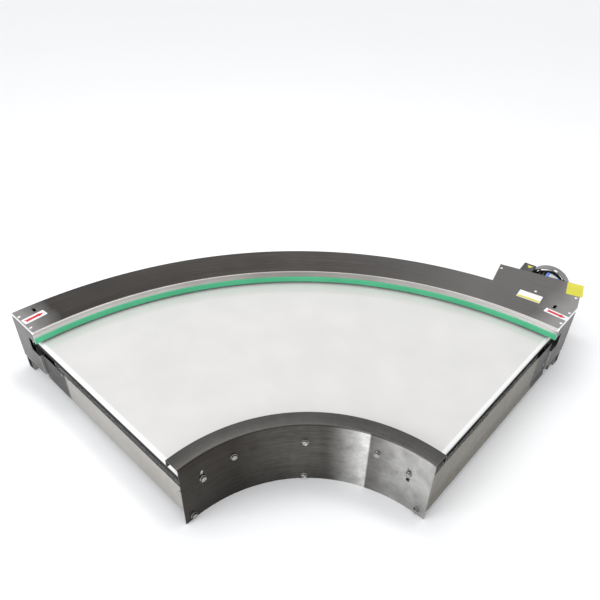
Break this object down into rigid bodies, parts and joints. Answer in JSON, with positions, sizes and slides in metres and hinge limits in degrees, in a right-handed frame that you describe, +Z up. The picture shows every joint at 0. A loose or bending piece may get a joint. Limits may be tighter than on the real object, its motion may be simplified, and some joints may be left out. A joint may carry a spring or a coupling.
{
  "type": "curved belt conveyor",
  "caption": "Low belt curve for packs: annular belt over segmented noses, covered outer drive channel with gear motor, inner guard and stand brackets.",
  "frame": {"origin": "on the floor, at the middle of the whole conveyor's outline seen from above", "axes": "+Z up, +X along the chord from the infeed end to the discharge end, +Y from the centre of the turn towards the middle of the covered outer channel"},
  "size_m": [1.8208, 0.9418, 0.2028],
  "materials": {
    "brushed_stainless": "brushed along its length, ground brighter at the ends",
    "guard_stainless": "brushed round the turn",
    "plate_stainless": "satin",
    "edge_strip_green": "smooth green strip",
    "belt_white": "glossy white belt",
    "bed_steel": "mill finish",
    "guide_plastic": "natural slide plastic",
    "ground_steel": "ground",
    "block_aluminium": "milled",
    "black_rubber": "moulded",
    "drive_tyre": "cast soft tyre",
    "gearbox_aluminium": "cast",
    "motor_paint": "satin paint on cast fins",
    "fan_cover_paint": "satin paint on pressed sheet",
    "fan_plastic": "moulded",
    "terminal_plastic": "moulded",
    "gland_plastic": "moulded",
    "fastener_steel": "bright",
    "roller_steel": "ground"
  },
  "bodies": {
    "frame": {"inner_guard": "guard_stainless", "top_cover": "brushed_stainless", "green_edge_strip": "edge_strip_green", "outer_wall": "brushed_stainless", "lower_tray": "brushed_stainless", "extension_walls": "brushed_stainless", "infeed_end_plate": "brushed_stainless", "discharge_end_plate": "brushed_stainless", "infeed_cross_plate": "plate_stainless", "discharge_cross_plate": "plate_stainless", "middle_cross_beam": "plate_stainless", "slider_bed": "bed_steel", "bed_cross_members": "bed_steel", "return_bars": "guide_plastic", "upper_guide_shelf": "bed_steel", "lower_guide_shelf": "bed_steel", "upper_guide_rail": "guide_plastic", "lower_guide_rail": "guide_plastic", "conveyor_belt": "belt_white", "belt_guide_bead": "belt_white", "infeed_nose_shaft": "ground_steel", "discharge_nose_shaft": "ground_steel", "inner_shaft_blocks": "block_aluminium", "outer_shaft_blocks": "block_aluminium", "stand_brackets": "brushed_stainless", "discharge_buffer": "black_rubber", "pressure_axle": "ground_steel", "pressure_bracket": "bed_steel", "gearbox_housing": "gearbox_aluminium", "drive_mount_plate": "bed_steel", "motor_body": "motor_paint", "fan_cover": "fan_cover_paint", "terminal_box": "terminal_plastic", "terminal_box_lid": "terminal_plastic", "cable_gland": "gland_plastic", "upper_guard_bolts": "fastener_steel", "slot_bolts": "fastener_steel", "lower_guard_bolts": "fastener_steel", "cover_screws": "fastener_steel"},
    "drive_wheel": {"drive_shaft": "ground_steel", "drive_wheel_hub": "ground_steel", "drive_wheel_tyre": "drive_tyre"},
    "pressure_roller": {"pressure_roller": "ground_steel"},
    "motor_fan": {"motor_fan": "fan_plastic", "motor_shaft": "ground_steel"},
    "infeed_nose_roller_1": {"infeed_nose_roller_1": "roller_steel"},
    "infeed_nose_roller_2": {"infeed_nose_roller_2": "roller_steel"},
    "infeed_nose_roller_3": {"infeed_nose_roller_3": "roller_steel"},
    "infeed_nose_roller_4": {"infeed_nose_roller_4": "roller_steel"},
    "infeed_nose_roller_5": {"infeed_nose_roller_5": "roller_steel"},
    "discharge_nose_roller_1": {"discharge_nose_roller_1": "roller_steel"},
    "discharge_nose_roller_2": {"discharge_nose_roller_2": "roller_steel"},
    "discharge_nose_roller_3": {"discharge_nose_roller_3": "roller_steel"},
    "discharge_nose_roller_4": {"discharge_nose_roller_4": "roller_steel"},
    "discharge_nose_roller_5": {"discharge_nose_roller_5": "roller_steel"}
  },
  "joints": [
    {"name": "drive_spin", "type": "hinge", "parent": "frame", "child": "drive_wheel", "pos_m": [0.63358, 0.10575, 0.0897], "axis": [0.6327, 0.7744, 0], "continuous": true},
    {"name": "pressure_spin", "type": "hinge", "parent": "frame", "child": "pressure_roller", "pos_m": [0.63358, 0.10575, 0.1395], "axis": [0.6327, 0.7744, 0], "continuous": true},
    {"name": "motor_spin", "type": "hinge", "parent": "frame", "child": "motor_fan", "pos_m": [0.83984, 0.3582, 0.1197], "axis": [0.6327, 0.7744, 0], "continuous": true},
    {"name": "infeed_roller_1_spin", "type": "hinge", "parent": "frame", "child": "infeed_nose_roller_1", "pos_m": [-0.37417, -0.39345, 0.14], "axis": [-0.7071, 0.7071, 0], "continuous": true},
    {"name": "infeed_roller_2_spin", "type": "hinge", "parent": "frame", "child": "infeed_nose_roller_2", "pos_m": [-0.4733, -0.29432, 0.14], "axis": [-0.7071, 0.7071, 0], "continuous": true},
    {"name": "infeed_roller_3_spin", "type": "hinge", "parent": "frame", "child": "infeed_nose_roller_3", "pos_m": [-0.57244, -0.19518, 0.14], "axis": [-0.7071, 0.7071, 0], "continuous": true},
    {"name": "infeed_roller_4_spin", "type": "hinge", "parent": "frame", "child": "infeed_nose_roller_4", "pos_m": [-0.67158, -0.09605, 0.14], "axis": [-0.7071, 0.7071, 0], "continuous": true},
    {"name": "infeed_roller_5_spin", "type": "hinge", "parent": "frame", "child": "infeed_nose_roller_5", "pos_m": [-0.77071, 0.00309, 0.14], "axis": [-0.7071, 0.7071, 0], "continuous": true},
    {"name": "discharge_roller_1_spin", "type": "hinge", "parent": "frame", "child": "discharge_nose_roller_1", "pos_m": [0.27298, -0.38921, 0.14], "axis": [0.7071, 0.7071, 0], "continuous": true},
    {"name": "discharge_roller_2_spin", "type": "hinge", "parent": "frame", "child": "discharge_nose_roller_2", "pos_m": [0.37211, -0.29008, 0.14], "axis": [0.7071, 0.7071, 0], "continuous": true},
    {"name": "discharge_roller_3_spin", "type": "hinge", "parent": "frame", "child": "discharge_nose_roller_3", "pos_m": [0.47125, -0.19094, 0.14], "axis": [0.7071, 0.7071, 0], "continuous": true},
    {"name": "discharge_roller_4_spin", "type": "hinge", "parent": "frame", "child": "discharge_nose_roller_4", "pos_m": [0.57039, -0.0918, 0.14], "axis": [0.7071, 0.7071, 0], "continuous": true},
    {"name": "discharge_roller_5_spin", "type": "hinge", "parent": "frame", "child": "discharge_nose_roller_5", "pos_m": [0.66952, 0.00733, 0.14], "axis": [0.7071, 0.7071, 0], "continuous": true}
  ],
  "couplings": [
    {"joint": "pressure_spin", "follows": "drive_spin", "ratio": -2.6154},
    {"joint": "motor_spin", "follows": "drive_spin", "ratio": 10},
    {"joint": "infeed_roller_1_spin", "follows": "drive_spin", "ratio": -1.0924},
    {"joint": "infeed_roller_2_spin", "follows": "drive_spin", "ratio": -1.42},
    {"joint": "infeed_roller_3_spin", "follows": "drive_spin", "ratio": -1.7475},
    {"joint": "infeed_roller_4_spin", "follows": "drive_spin", "ratio": -2.0751},
    {"joint": "infeed_roller_5_spin", "follows": "drive_spin", "ratio": -2.4026},
    {"joint": "discharge_roller_1_spin", "follows": "drive_spin", "ratio": -1.0924},
    {"joint": "discharge_roller_2_spin", "follows": "drive_spin", "ratio": -1.42},
    {"joint": "discharge_roller_3_spin", "follows": "drive_spin", "ratio": -1.7475},
    {"joint": "discharge_roller_4_spin", "follows": "drive_spin", "ratio": -2.0751},
    {"joint": "discharge_roller_5_spin", "follows": "drive_spin", "ratio": -2.4026}
  ]
}
